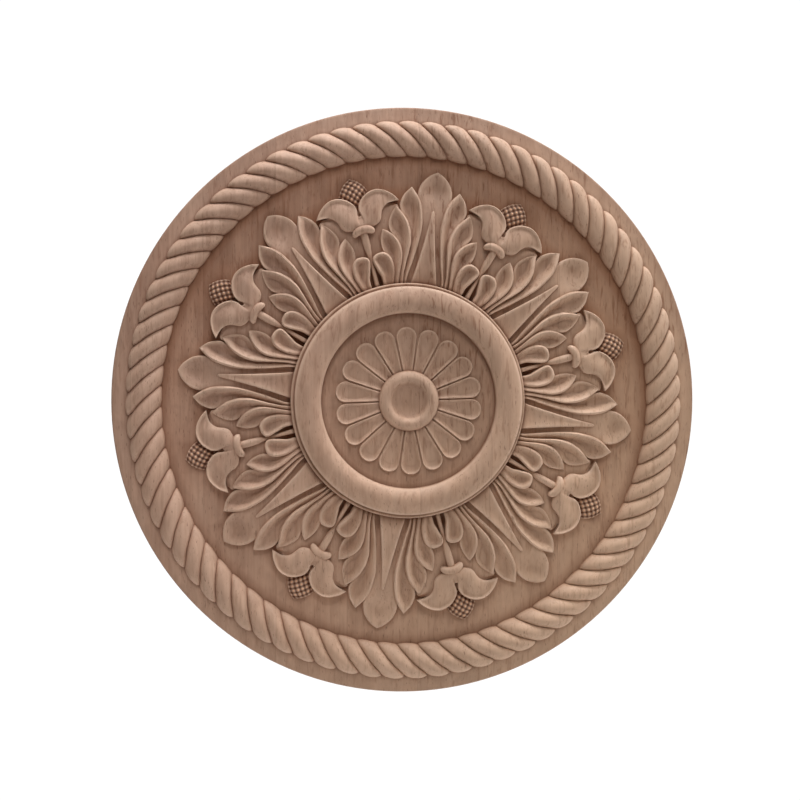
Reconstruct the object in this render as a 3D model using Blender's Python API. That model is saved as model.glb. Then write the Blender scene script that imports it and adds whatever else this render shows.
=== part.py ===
# Round carved wood applique: a turned board with a roped border, eight acanthus
# leaves, eight bell flowers, a round moulding and a petalled rosette, all cut
# from one solid disc. It is carved flat, facing up, and then stood on its edge,
# so that its flat back lies in the plane Y = 0 and its front looks along -Y.

import math

import bmesh
import bpy
from mathutils import Matrix, Vector

# Sizes are in millimetres. Heights are measured from the flat back.
MM = 0.001

DISC_RADIUS = 250.0
OVERALL_DEPTH = 37.0
FIELD_HEIGHT = 13.5
INNER_FIELD_HEIGHT = 25.5
BURIED_HEIGHT = 9.0  # carved forms start this high, inside the board
OVERLAP = 3.0  # forms run this far into the ones that they join
ROUND_STEPS = 60

# The plain turned rim outside the rope.
EDGE_HEIGHT = 11.8
RIM_RISE = 2.2
BACK_CHAMFER = 1.0
FRONT_CHAMFER = 1.8

ROPE_RADIUS = 222.8
ROPE_HALF_WIDTH = 15.6
ROPE_RISE = 10.8
ROPE_FOOT_HEIGHT = 14.4
ROPE_STRANDS = 75
ROPE_GROOVE = 0.8  # share of the strand's size that is left in a groove
ROPE_TWIST = 1.54  # strands passed from the inner to the outer edge
ROPE_ROWS = 5
ROPE_BED_HALF_WIDTH = 9.5

# The round moulding: its crest, and how wide and how high each side's foot is.
MOULDING_RADIUS = 83.8
MOULDING_OUTER_WIDTH = 12.8
MOULDING_OUTER_FOOT = 32.8
MOULDING_OUTER_STEPS = 3
MOULDING_INNER_WIDTH = 9.6
MOULDING_INNER_FOOT = 29.2
MOULDING_INNER_STEPS = 2
FILLET_RADIUS = 99.8
FILLET_HEIGHT = 26.6
BUTTON_RADIUS = 25.6
# The button's hollowed top: radius and height from its edge to its middle.
BUTTON_TOP = [(25.0, 31.0), (21.0, 33.8), (16.0, 33.4), (0.0, 29.0)]

FLAT_ANGLE = 1.0  # degrees: faces that meet flatter than this are joined
SMOOTH_ANGLE = 32.0  # degrees: edges sharper than this stay crisp
WELD_DISTANCE = 0.02
SHORTEST_EDGE = 0.01

MOTIFS = 8
FLOWER_ANGLE = 14.8  # degrees from +X, anticlockwise seen from the front
LEAF_ANGLE = FLOWER_ANGLE + 180.0 / MOTIFS

ROSETTE_PETALS = 18
ROSETTE_ANGLE = 12.0
ROSETTE_RADIUS = 62.0
PETAL_RIM_HEIGHT = 28.4
PETAL_SCOOP_HEIGHT = 26.8
PETAL_GROOVE_HEIGHT = 25.0
PETAL_EDGE_SHARE = 0.06  # from a groove to the petal's edge, as a share of its width
PETAL_CORNER_SETBACK = 4.2
PETAL_GROOVE_SETBACK = 7.0

VALLEY_SHARE = 0.6  # a lobe's scoop is lowest here, from its near to its far edge
MIDDLE_SHARE = 0.4  # half of the flat middle, as a share of a form's half width

# Each lobe of a leaf lies between two edges, read from the moulding outwards to
# the tip. X is across the leaf from its midrib, Y the distance from the disc's
# centre. Heights are given at the moulding, half way and at the tip.
LOBES = {
    "first_lobes": {
        "near": [(15.5, 100.8), (12, 118), (9.4, 136), (9.6, 155), (13.4, 171.6), (21, 181.2)],
        "far": [(19.2, 100.2), (17.8, 118), (18.4, 138), (25, 156.5), (29.4, 167), (21, 181.2)],
        "near_heights": (23.6, 25.4, 19),
        "valley_heights": (19.5, 19.8, 16),
        "far_heights": (20, 20, 18),
        "steps": 4,
    },
    "second_lobes": {
        "near": [(18.0, 100.4), (16.6, 114), (16.2, 130), (18, 145.5), (23.5, 156.5), (32.1, 163.6)],
        "far": [(22.9, 99.4), (22.4, 116), (27, 131.5), (35.4, 143), (37.0, 153), (32.1, 163.6)],
        "near_heights": (23.6, 25.4, 20),
        "valley_heights": (20, 20, 17),
        "far_heights": (20.5, 20, 18.6),
        "steps": 4,
    },
    "third_lobes": {
        "near": [(21.6, 99.7), (21.2, 111), (22.6, 123.5), (29, 136.2), (40.6, 141.6)],
        "far": [(27.6, 98.2), (28.2, 110), (35.5, 121.5), (41.4, 132), (40.6, 141.6)],
        "near_heights": (23.6, 25.2, 20),
        "valley_heights": (20, 20, 17.6),
        "far_heights": (20.5, 20.4, 19.4),
        "steps": 3,
    },
    "oval_lobes": {
        "near": [(26.2, 98.6), (26.6, 109), (31.6, 118.9), (38.4, 122.5)],
        "far": [(34.2, 96.1), (41.6, 106.4), (46.6, 114.6), (38.4, 122.5)],
        "near_heights": (23.4, 24.6, 22.8),
        "valley_heights": (20, 19.8, 19.6),
        "far_heights": (23.0, 23.6, 22.8),
        "steps": 3,
    },
}

# The leaf's end lobe: half width, rim height and scooped middle height along Y.
END_LOBE = [
    (101.0, 14.4, 17.8, 17.8),
    (150.0, 11.2, 20.8, 20.8),
    (167.0, 12.6, 20.2, 20.0),
    (178.0, 14.4, 18.4, 15.4),
    (189.4, 9.5, 17.4, 15.0),
    (196.0, 0.0, 17.0, 17.0),
]

# The midrib, a long wedge: half width and height along Y.
MIDRIB = [(101.4, 11.0, 23.6), (128.0, 5.8, 25.2), (162.6, 0.8, 21.8)]

# The flower's two petals as one bell, from beside its axis to the tip of one
# petal: the upper edge, the lower edge, and the heights of the upper edge,
# middle and lower edge. X is across the flower from its axis.
BELL = [
    ((1.2, 163.2), (1.2, 149.4), 20.0, 23.8, 20.2),
    ((5.4, 175.2), (13.4, 151.0), 20.2, 22.6, 19.6),
    ((16.6, 180.7), (19.6, 159.8), 19.8, 20.4, 18.6),
    ((29.6, 175.7), (26.0, 166.4), 19.6, 19.0, 18.8),
    ((35.9, 167.2), (35.9, 167.2), 19.8, 19.8, 19.8),
]

# The small cap over the bell: stations from beside the axis to one end, as the
# middle line, the half thickness, the height of the top and of the edges.
CAP = [((2.6, 149.8), 3.8, 25.6, 24.1), ((8.9, 146.8), 2.4, 23.4, 21.9)]

# The stem: half width and height along Y.
STEM = [(148.2, 3.2, 22.4), (126.0, 1.6, 20.0)]

# The seed head: half width, edge height and middle height along Y.
SEED_HEAD = [
    (169.0, 5.4, 15.4, 18.2),
    (181.2, 11.6, 15.6, 20.4),
    (189.6, 6.8, 15.6, 19.0),
    (194.0, 0.0, 15.0, 15.0),
]

WOOD_COLOUR = (0.46, 0.32, 0.23, 1.0)
WOOD_ROUGHNESS = 0.62


def blend(values, share):
    """Straight-line blend along evenly spaced values."""
    place = share * (len(values) - 1)
    low = min(int(place), len(values) - 2)
    part = place - low
    return values[low] * (1 - part) + values[low + 1] * part


def smooth_point(points, share):
    """A point on the smooth curve through the points, at a share of its run."""
    place = share * (len(points) - 1)
    low = min(int(place), len(points) - 2)
    part = place - low
    picks = [Vector(points[min(max(low + k, 0), len(points) - 1)]) for k in (-1, 0, 1, 2)]
    before, start, end, after = picks
    return 0.5 * (
        2 * start
        + (end - before) * part
        + (2 * before - 5 * start + 4 * end - after) * part**2
        + (3 * start - before - 3 * end + after) * part**3
    )


def lift(point, height):
    return Vector((point[0], point[1], height))


def add_loft(mesh, sections, closed=False):
    """Adds a closed solid that runs through sections with equal numbers of points."""
    rings = [[mesh.verts.new(point) for point in section] for section in sections]
    size = len(rings[0])
    pairs = list(zip(rings, rings[1:]))
    if closed:
        pairs.append((rings[-1], rings[0]))
    for one, two in pairs:
        for k in range(size):
            mesh.faces.new((one[k], one[(k + 1) % size], two[(k + 1) % size], two[k]))
    if not closed:
        mesh.faces.new(rings[0])
        mesh.faces.new(rings[-1])


def turned(sections, angle, mirrored=False):
    """Copies of the sections, mirrored across Y if asked, with +Y turned to an angle."""
    spot = Matrix.Rotation(math.radians(angle - 90.0), 4, "Z")
    if mirrored:
        spot = spot @ Matrix.Scale(-1.0, 4, Vector((1, 0, 0)))
    return [[spot @ Vector(point) for point in section] for section in sections]


def finish_mesh(mesh, name):
    """Welds collapsed tips, turns faces outwards and returns an object in metres."""
    bmesh.ops.remove_doubles(mesh, verts=mesh.verts, dist=WELD_DISTANCE)
    bmesh.ops.dissolve_degenerate(mesh, dist=SHORTEST_EDGE, edges=mesh.edges)
    bmesh.ops.recalc_face_normals(mesh, faces=mesh.faces)
    bmesh.ops.scale(mesh, vec=(MM, MM, MM), verts=mesh.verts)
    data = bpy.data.meshes.new(name)
    mesh.to_mesh(data)
    mesh.free()
    data.shade_smooth()
    data.set_sharp_from_angle(angle=math.radians(SMOOTH_ANGLE))
    return bpy.data.objects.new(name, data)


def lobe_sections(lobe):
    """Sections of one lobe: a raised near edge, a scooped middle and a far edge."""
    sections = []
    for k in range(lobe["steps"] + 1):
        share = k / lobe["steps"]
        near = smooth_point(lobe["near"], share)
        far = smooth_point(lobe["far"], share)
        sections.append([
            lift(near, BURIED_HEIGHT),
            lift(near, blend(lobe["near_heights"], share)),
            lift(near.lerp(far, VALLEY_SHARE), blend(lobe["valley_heights"], share)),
            lift(far, blend(lobe["far_heights"], share)),
            lift(far, BURIED_HEIGHT),
        ])
    # At the tip the two edges meet, so its section is one upright line.
    tip = sections[-1]
    tip[2] = tip[3] = tip[1].copy()
    return sections


def make_lobes(name):
    """One kind of lobe on both sides of every leaf."""
    mesh = bmesh.new()
    sections = lobe_sections(LOBES[name])
    for k in range(MOTIFS):
        for mirrored in (False, True):
            add_loft(mesh, turned(sections, LEAF_ANGLE + k * 360.0 / MOTIFS, mirrored))
    return finish_mesh(mesh, name)


def make_across(name, stations, angle):
    """A form that is symmetric about its axis, scooped or domed, once in each motif.

    Each station is a distance from the centre, a half width, an edge height and a middle height.
    """
    mesh = bmesh.new()
    sections = []
    for distance, half_width, edge, middle in stations:
        inset = half_width * MIDDLE_SHARE
        sections.append([
            Vector((-half_width, distance, BURIED_HEIGHT)),
            Vector((-half_width, distance, edge)),
            Vector((-inset, distance, middle)),
            Vector((inset, distance, middle)),
            Vector((half_width, distance, edge)),
            Vector((half_width, distance, BURIED_HEIGHT)),
        ])
    for k in range(MOTIFS):
        add_loft(mesh, turned(sections, angle + k * 360.0 / MOTIFS))
    return finish_mesh(mesh, name)


def make_ridge(name, stations, angle):
    """A bar that narrows along its length, with a flat top, once in each motif."""
    mesh = bmesh.new()
    sections = [
        [
            Vector((-half_width, distance, BURIED_HEIGHT)),
            Vector((-half_width, distance, height)),
            Vector((half_width, distance, height)),
            Vector((half_width, distance, BURIED_HEIGHT)),
        ]
        for distance, half_width, height in stations
    ]
    for k in range(MOTIFS):
        add_loft(mesh, turned(sections, angle + k * 360.0 / MOTIFS))
    return finish_mesh(mesh, name)


def mirrored_half(half):
    """The other half of a run of sections, in the order that leads up to the first half."""
    flip = Vector((-1, 1, 1))
    return [[point * flip for point in section] for section in reversed(half)]


def repeat_in_flowers(name, sections):
    """One form of the flower, once in each motif."""
    mesh = bmesh.new()
    for k in range(MOTIFS):
        add_loft(mesh, turned(sections, FLOWER_ANGLE + k * 360.0 / MOTIFS))
    return finish_mesh(mesh, name)


def make_bells():
    """The two petals of each flower, as one solid from petal tip to petal tip."""
    half = []
    for upper, lower, upper_height, middle_height, lower_height in BELL:
        middle = Vector(upper).lerp(Vector(lower), 0.5)
        half.append([
            lift(upper, BURIED_HEIGHT),
            lift(upper, upper_height),
            lift(middle, middle_height),
            lift(lower, lower_height),
            lift(lower, BURIED_HEIGHT),
        ])
    return repeat_in_flowers("bell_petals", mirrored_half(half) + half)


def make_caps():
    """The small curved cap between each bell and its stem."""
    half = []
    for (x, y), half_thickness, top_height, edge_height in CAP:
        half.append([
            Vector((x, y + half_thickness, BURIED_HEIGHT)),
            Vector((x, y + half_thickness, edge_height)),
            Vector((x, y, top_height)),
            Vector((x, y - half_thickness, edge_height)),
            Vector((x, y - half_thickness, BURIED_HEIGHT)),
        ])
    return repeat_in_flowers("calyx_caps", mirrored_half(half) + half)


def make_rope():
    """The twisted border: one section on each strand's crest and in each groove."""
    sections = []
    columns = 2 * ROPE_STRANDS
    for column in range(columns):
        size = 1.0 if column % 2 == 0 else ROPE_GROOVE
        section = []
        for row in range(ROPE_ROWS):
            across = row / (ROPE_ROWS - 1) - 0.5
            turn = across * math.pi
            lean = ROPE_TWIST * math.sin(turn) / 2
            radius = ROPE_RADIUS + ROPE_HALF_WIDTH * size * math.sin(turn)
            height = ROPE_FOOT_HEIGHT + ROPE_RISE * size * math.cos(turn)
            angle = (column / 2 + lean) * 2 * math.pi / ROPE_STRANDS
            section.append(Vector((radius * math.cos(angle), radius * math.sin(angle), height)))
        outer, inner = section[-1], section[0]
        section.append(lift(outer, BURIED_HEIGHT))
        section.append(lift(inner, BURIED_HEIGHT))
        sections.append(section)
    mesh = bmesh.new()
    add_loft(mesh, sections, closed=True)
    return finish_mesh(mesh, "rope_border")


def make_rosette():
    """The round of scooped petals in the middle, with a groove between each two."""
    # Share of a petal's width, how far it reaches, and its height, at each section.
    cross = [
        (PETAL_EDGE_SHARE, ROSETTE_RADIUS - PETAL_CORNER_SETBACK, PETAL_RIM_HEIGHT),
        (0.5, ROSETTE_RADIUS, PETAL_SCOOP_HEIGHT),
        (1 - PETAL_EDGE_SHARE, ROSETTE_RADIUS - PETAL_CORNER_SETBACK, PETAL_RIM_HEIGHT),
        (1.0, ROSETTE_RADIUS - PETAL_GROOVE_SETBACK, PETAL_GROOVE_HEIGHT),
    ]
    pitch = 2 * math.pi / ROSETTE_PETALS
    start = math.radians(ROSETTE_ANGLE) - pitch / 2
    sections = []
    for k in range(ROSETTE_PETALS):
        for share, reach, height in cross:
            angle = start + (k + share) * pitch
            spots = [
                (BUTTON_RADIUS - OVERLAP, INNER_FIELD_HEIGHT - OVERLAP),
                (BUTTON_RADIUS - OVERLAP, height),
                (reach, height),
                (reach, INNER_FIELD_HEIGHT - OVERLAP),
            ]
            sections.append([Vector((r * math.cos(angle), r * math.sin(angle), z)) for r, z in spots])
    mesh = bmesh.new()
    add_loft(mesh, sections, closed=True)
    return finish_mesh(mesh, "rosette_petals")


def body_profile():
    """The turned shape from the middle of the back, round the edge, to the middle of the front."""
    profile = [
        (0.0, 0.0),
        (DISC_RADIUS - BACK_CHAMFER, 0.0),
        (DISC_RADIUS, BACK_CHAMFER),
        (DISC_RADIUS, EDGE_HEIGHT - FRONT_CHAMFER),
        (DISC_RADIUS - FRONT_CHAMFER, EDGE_HEIGHT),
        (ROPE_RADIUS + ROPE_BED_HALF_WIDTH, EDGE_HEIGHT + RIM_RISE),
        (ROPE_RADIUS - ROPE_BED_HALF_WIDTH, FIELD_HEIGHT),
        (FILLET_RADIUS, FIELD_HEIGHT),
        (FILLET_RADIUS, FILLET_HEIGHT),
        (MOULDING_RADIUS + MOULDING_OUTER_WIDTH, FILLET_HEIGHT),
    ]
    # Its crest is the foremost line of the whole piece.
    for k in range(MOULDING_OUTER_STEPS):
        turn = math.pi / 2 * k / MOULDING_OUTER_STEPS
        height = MOULDING_OUTER_FOOT + (OVERALL_DEPTH - MOULDING_OUTER_FOOT) * math.sin(turn)
        profile.append((MOULDING_RADIUS + MOULDING_OUTER_WIDTH * math.cos(turn), height))
    for k in range(MOULDING_INNER_STEPS + 1):
        turn = math.pi / 2 * k / MOULDING_INNER_STEPS
        height = MOULDING_INNER_FOOT + (OVERALL_DEPTH - MOULDING_INNER_FOOT) * math.cos(turn)
        profile.append((MOULDING_RADIUS - MOULDING_INNER_WIDTH * math.sin(turn), height))
    profile.append((MOULDING_RADIUS - MOULDING_INNER_WIDTH, INNER_FIELD_HEIGHT))
    return profile + [(BUTTON_RADIUS, INNER_FIELD_HEIGHT)] + BUTTON_TOP


def make_body():
    """The plain turned disc, spun from its profile."""
    mesh = bmesh.new()
    points = [mesh.verts.new((radius, 0.0, height)) for radius, height in body_profile()]
    edges = [mesh.edges.new(pair) for pair in zip(points, points[1:])]
    bmesh.ops.spin(
        mesh,
        geom=points + edges,
        cent=(0, 0, 0),
        axis=(0, 0, 1),
        angle=2 * math.pi,
        steps=ROUND_STEPS,
        use_merge=True,
    )
    return finish_mesh(mesh, "carved_medallion")


def make_wood():
    """Pale brown hardwood, sanded and left unpainted."""
    wood = bpy.data.materials.new("raw_wood")
    wood.use_nodes = True
    shader = wood.node_tree.nodes["Principled BSDF"]
    shader.inputs["Base Color"].default_value = WOOD_COLOUR
    shader.inputs["Roughness"].default_value = WOOD_ROUGHNESS
    shader.inputs["Metallic"].default_value = 0.0
    return wood


def main():
    for old in list(bpy.data.objects):
        bpy.data.objects.remove(old)
    medallion = make_body()
    medallion.data.materials.append(make_wood())
    bpy.context.scene.collection.objects.link(medallion)
    stand_up = Matrix.Rotation(math.radians(90.0), 4, "X")
    medallion.matrix_world = stand_up

    carved_forms = [
        make_rope(),
        make_across("end_lobes", END_LOBE, LEAF_ANGLE),
        make_lobes("first_lobes"),
        make_lobes("second_lobes"),
        make_lobes("third_lobes"),
        make_ridge("midribs", MIDRIB, LEAF_ANGLE),
        make_lobes("oval_lobes"),
        make_across("seed_heads", SEED_HEAD, FLOWER_ANGLE),
        make_bells(),
        make_ridge("stems", STEM, FLOWER_ANGLE),
        make_caps(),
        make_rosette(),
    ]
    for form in carved_forms:
        bpy.context.scene.collection.objects.link(form)
        form.matrix_world = stand_up
        form.hide_render = True
        form.display_type = "WIRE"
        union = medallion.modifiers.new(form.name, "BOOLEAN")
        union.operation = "UNION"
        union.solver = "EXACT"
        union.object = form

    flat_joins = medallion.modifiers.new("flat_joins", "DECIMATE")
    flat_joins.decimate_type = "DISSOLVE"
    flat_joins.angle_limit = math.radians(FLAT_ANGLE)


main()
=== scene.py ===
# A round wood applique: rope border, eight acanthus leaves, eight bell flowers, a
# round moulding and a petalled rosette, carved from one glued-up panel.
# It is laid out flat in millimetres (x across, y up the panel, z above its back)
# and then stood up: its back lies in the plane Y = 0 and it faces -Y.

import math

import bpy
import numpy as np
from mathutils import Matrix, Vector
from mathutils.bvhtree import BVHTree


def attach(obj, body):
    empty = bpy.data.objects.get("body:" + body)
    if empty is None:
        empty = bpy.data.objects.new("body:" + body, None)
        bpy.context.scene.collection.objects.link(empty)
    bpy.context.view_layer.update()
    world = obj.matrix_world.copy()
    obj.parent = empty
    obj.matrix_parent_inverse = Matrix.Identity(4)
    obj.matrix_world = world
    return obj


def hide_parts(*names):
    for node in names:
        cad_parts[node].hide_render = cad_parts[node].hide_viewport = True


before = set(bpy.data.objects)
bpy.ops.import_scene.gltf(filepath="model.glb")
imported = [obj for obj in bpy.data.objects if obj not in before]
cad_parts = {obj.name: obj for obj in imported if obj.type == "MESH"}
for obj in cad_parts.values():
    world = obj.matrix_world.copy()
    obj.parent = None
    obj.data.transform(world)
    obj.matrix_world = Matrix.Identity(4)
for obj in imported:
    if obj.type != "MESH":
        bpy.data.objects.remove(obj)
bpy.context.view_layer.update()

mm = 0.001

layout = {
    "motifs": 8,
    "flowerAngle": 14.8,  # degrees from +x, anticlockwise seen from the front
    "leafAngle": 37.3,
    "carvingStart": 99.8,  # the carving grows out of the moulding's foot here
    "bottom": 11.0,  # carved forms reach down to here, inside the board
    "crispAngle": 42.0,
    "edgeSamples": 400,  # points along an edge that heights are measured from
}


# small tools for curves, heights and closed forms

def splineAt(keys, place):
    # a smooth run through the keys; place counts keys from 0
    keys = np.asarray(keys, float)
    low = np.clip(np.floor(place).astype(int), 0, len(keys) - 2)
    part = np.asarray(place) - low
    if keys.ndim == 2:
        part = part[:, None]
    padded = np.concatenate([[2 * keys[0] - keys[1]], keys, [2 * keys[-1] - keys[-2]]])
    before, start, end, after = (padded[low + k] for k in range(4))
    return 0.5 * (2 * start + (end - before) * part
                  + (2 * before - 5 * start + 4 * end - after) * part ** 2
                  + (3 * start - before - 3 * end + after) * part ** 3)


def heightsAlong(keys, shares):
    return splineAt(keys, np.asarray(shares) * (len(keys) - 1))


def evenCurve(points, count):
    # the smooth curve through the points, cut at even distances
    fine = splineAt(points, np.linspace(0, len(points) - 1, 40 * len(points)))
    run = np.concatenate([[0], np.cumsum(np.linalg.norm(np.diff(fine, axis=0), axis=1))])
    marks = np.linspace(0, run[-1], count)
    return np.column_stack([np.interp(marks, run, fine[:, k]) for k in range(2)])


def softStep(value):
    value = np.clip(value, 0, 1)
    return value * value * (3 - 2 * value)


def distanceTo(spots, path):
    # distance from every spot of a grid to the nearest part of a path
    gaps = spots[:, :, None, :2] - path[None, None, :, :2]
    return np.sqrt((gaps ** 2).sum(-1)).min(-1)


def softMax(one, two):
    return (one ** 4 + two ** 4) ** 0.25


def quarterRound(share):
    # a quarter circle that rises from 0 to 1
    return np.sqrt(np.clip(1 - (1 - np.clip(share, 0, 1)) ** 2, 0, 1))


def edgeBead(distance, crest, fall, start=0.55):
    # height share of a rounded edge: it starts low, crests, then falls away inwards
    rise = start + (1 - start) * quarterRound(distance / crest)
    return np.where(distance < crest, rise, 1 - softStep((distance - crest) / fall))


def skirted(rows, bottom):
    # walls all round a grid of points, down to the bottom height
    def dropped(part):
        part = part.copy()
        part[..., 2] = bottom
        return part
    rows = np.concatenate([dropped(rows[:1]), rows, dropped(rows[-1:])], axis=0)
    return np.concatenate([dropped(rows[:, :1]), rows, dropped(rows[:, -1:])], axis=1)


def gridForm(name, rows):
    # a form from rows of points: welded, closed underneath, faces outwards
    rowCount, columnCount = rows.shape[:2]
    bpy.ops.object.select_all(action="DESELECT")
    bpy.ops.mesh.primitive_grid_add(x_subdivisions=columnCount - 1, y_subdivisions=rowCount - 1, size=1)
    form = bpy.context.object
    form.name = name
    form.data.vertices.foreach_set("co", (rows * mm).astype(np.float32).reshape(-1))
    form.data.update()
    bpy.ops.object.mode_set(mode="EDIT")
    bpy.ops.mesh.select_mode(type="VERT")
    bpy.ops.mesh.select_all(action="SELECT")
    bpy.ops.mesh.remove_doubles(threshold=0.01 * mm)
    bpy.ops.mesh.dissolve_degenerate(threshold=0.005 * mm)
    bpy.ops.mesh.select_all(action="DESELECT")
    bpy.ops.mesh.select_non_manifold(extend=False, use_wire=False, use_boundary=True,
                                     use_multi_face=False, use_non_contiguous=False, use_verts=False)
    if form.data.total_vert_sel:
        bpy.ops.mesh.edge_face_add()
    bpy.ops.mesh.select_all(action="SELECT")
    bpy.ops.mesh.normals_make_consistent(inside=False)
    bpy.ops.object.mode_set(mode="OBJECT")
    return form


def pointsOf(form):
    # its points in mm
    spots = np.empty(len(form.data.vertices) * 3)
    form.data.vertices.foreach_get("co", spots)
    return spots.reshape(-1, 3) / mm


def addMask(form, name, values):
    # one value for each of its points, for the wood
    form.data.attributes.new(name, "FLOAT", "POINT").data.foreach_set("value", values.astype(np.float32))


def placedCopies(form, angle, count=layout["motifs"], mirrored=False):
    # copies of one form all round, each with its own mesh, +y turned to the angle
    copies = []
    for k in range(count):
        for flip in ((False, True) if mirrored else (False,)):
            copy = form.copy()
            copy.data = form.data.copy()
            bpy.context.collection.objects.link(copy)
            turn = Matrix.Rotation(math.radians(angle + k * 360 / count - 90), 4, "Z")
            if flip:
                turn = turn @ Matrix.Scale(-1, 4, Vector((1, 0, 0)))
            copy.data.transform(turn)
            if flip:
                copy.data.flip_normals()
            copies.append(copy)
    bpy.data.objects.remove(form)
    return copies


# eight leaves

leaf = {
    "columns": (0, 0.04, 0.11, 0.2, 0.32, 0.45, 0.58, 0.71, 0.83, 0.92, 0.97, 1),
    "ridge": (1.3, 8.0),  # mm from the near edge to the crest, and from there down to the scoop
    "lip": (0.7, 5.2),
    "scoopWidth": 9.0,  # a lobe narrower than this has a shallower scoop
    "scoopPower": 0.7,
    "narrowest": 0.3,  # least share that ridge and lip shrink to where a lobe narrows
    # Each lobe lies between a near edge, next to the midrib, and a far edge, both from the
    # moulding to the tip. Heights are spaced evenly along it.
    "lobes": {
        "firstLobe": {
            "near": [(15.3, 100.7), (14.9, 103.6), (13.1, 112.1), (11.4, 120), (10.2, 127), (9.0, 134.5),
                     (8.0, 142), (7.8, 149), (8.5, 156), (9.6, 163), (12.2, 170), (16.4, 176), (20.8, 180.8)],
            "far": [(19.6, 100), (18.8, 110), (18.2, 120), (17.8, 130), (18.6, 139), (21.2, 148),
                    (25.4, 155.4), (28.2, 160.4), (28.9, 164.8), (28.0, 169.6), (26.0, 174.4), (20.8, 180.8)],
            "ridgeHeights": (22.6, 24.2, 24.8, 23.8, 18.6),
            "scoopHeights": (19.0, 19.4, 18.6, 15.8, 15.4),
            "lipHeights": (19.4, 20.0, 20.2, 19.2, 18.4),
            "rows": 32,
        },
        "secondLobe": {
            "near": [(17.9, 100.3), (18.1, 105), (17.7, 112.5), (17.0, 119.5), (16.2, 126), (15.6, 132),
                     (16.0, 138.3), (17.5, 144.6), (20.3, 150.8), (24.2, 155.9), (28.2, 159.8),
                     (31.8, 162.8)],
            "far": [(23.5, 99.1), (23.6, 112), (24.4, 125), (28, 133.5), (33, 139), (36.0, 143.6),
                    (36.6, 149.3), (35.7, 154.6), (34.0, 159), (31.8, 162.8)],
            "ridgeHeights": (22.8, 24.6, 25.4, 24.2, 19.6),
            "scoopHeights": (19.2, 19.6, 18.8, 16.2, 16.4),
            "lipHeights": (19.6, 20.4, 20.8, 20.0, 19.4),
            "rows": 29,
        },
        "thirdLobe": {
            "near": [(21.9, 99.5), (21.4, 107), (21, 114), (21.1, 120.5), (22.6, 127.5), (26, 133.3),
                     (30.6, 137.5), (35.4, 140.2), (40.6, 141.4)],
            "far": [(28, 98), (28.6, 108), (32, 116), (36.4, 121), (39.6, 126), (41.2, 131.5), (41.4, 136.6),
                    (40.6, 141.4)],
            "ridgeHeights": (22.8, 24.8, 25.2, 23.8, 20.2),
            "scoopHeights": (19.2, 19.4, 18.2, 16.4, 17.0),
            "lipHeights": (19.6, 20.4, 21.0, 20.6, 20.0),
            "rows": 26,
        },
        "ovalLobe": {
            "near": [(25.8, 98.6), (25.5, 104), (26.2, 109), (28, 114.2), (30.8, 118.5), (34.4, 121.2),
                     (38.4, 122.0)],
            "far": [(34, 96.1), (36, 100.7), (38.6, 104), (41.2, 107.2), (43.7, 110.2), (45.6, 113.2),
                    (45.8, 116.4), (43.0, 119.8), (38.4, 122.0)],
            "ridgeHeights": (22.4, 23.8, 24.6, 24.6, 23.6),
            "scoopHeights": (19.6, 20.0, 20.0, 20.3, 21.8),
            "lipHeights": (22.0, 23.2, 24.0, 24.2, 23.6),
            "ridge": (1.4, 6.0),
            "lip": (1.2, 5.6),
            "rows": 26,
        },
    },
    # the broad end lobe, half of its outline from the moulding to the tip
    "endEdge": [(15.4, 101), (14.6, 112), (13.0, 128), (11.6, 144), (11.6, 156), (12.8, 166), (14.4, 173),
                (14.4, 179), (12.7, 184.6), (9.5, 189.3), (5.2, 193.3), (0, 196)],
    "endRimHeights": (18.2, 19.0, 20.0, 20.8, 21.2, 20.9, 20.0, 18.4, 17.4, 17.0),
    "endScoopHeights": (18.2, 19.0, 20.0, 20.8, 21.2, 20.9, 18.9, 15.2, 14.6, 15.8),
    "endBead": (0.9, 11.0),
    "endRows": 44,
    # the midrib: a long wedge, as half width and height along its length
    "wedge": [(99.4, 11.0, 23.0), (110, 8.9, 24.4), (120, 7.1, 25.0), (130, 5.4, 25.2), (140, 3.9, 24.8),
              (150, 2.6, 23.8), (157, 1.8, 22.8), (161, 1.3, 22.0), (162.4, 0.4, 21.4)],
    "wedgeColumns": (-1, -0.96, -0.88, -0.7, -0.35, 0, 0.35, 0.7, 0.88, 0.96, 1),
    "wedgeRound": 0.8,  # radius of its long edges
    "wedgeHollow": 0.9,
    "wedgeHollowReach": 4.5,  # mm from the rounded edge to the full hollow
    "wedgeHollowWidth": 6.0,  # half width below which the hollow gets shallower
    "wedgeRows": 18,
}


def fromFoot(edge):
    # the edge with its start carried inwards, into the foot of the moulding
    first = np.array(edge[0], float)
    return [tuple(first * layout["carvingStart"] / np.linalg.norm(first))] + list(edge[1:])


def betweenEdges(near, far, columns):
    shares = np.asarray(columns)[None, :, None]
    return near[:, None, :] * (1 - shares) + far[:, None, :] * shares


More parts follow.
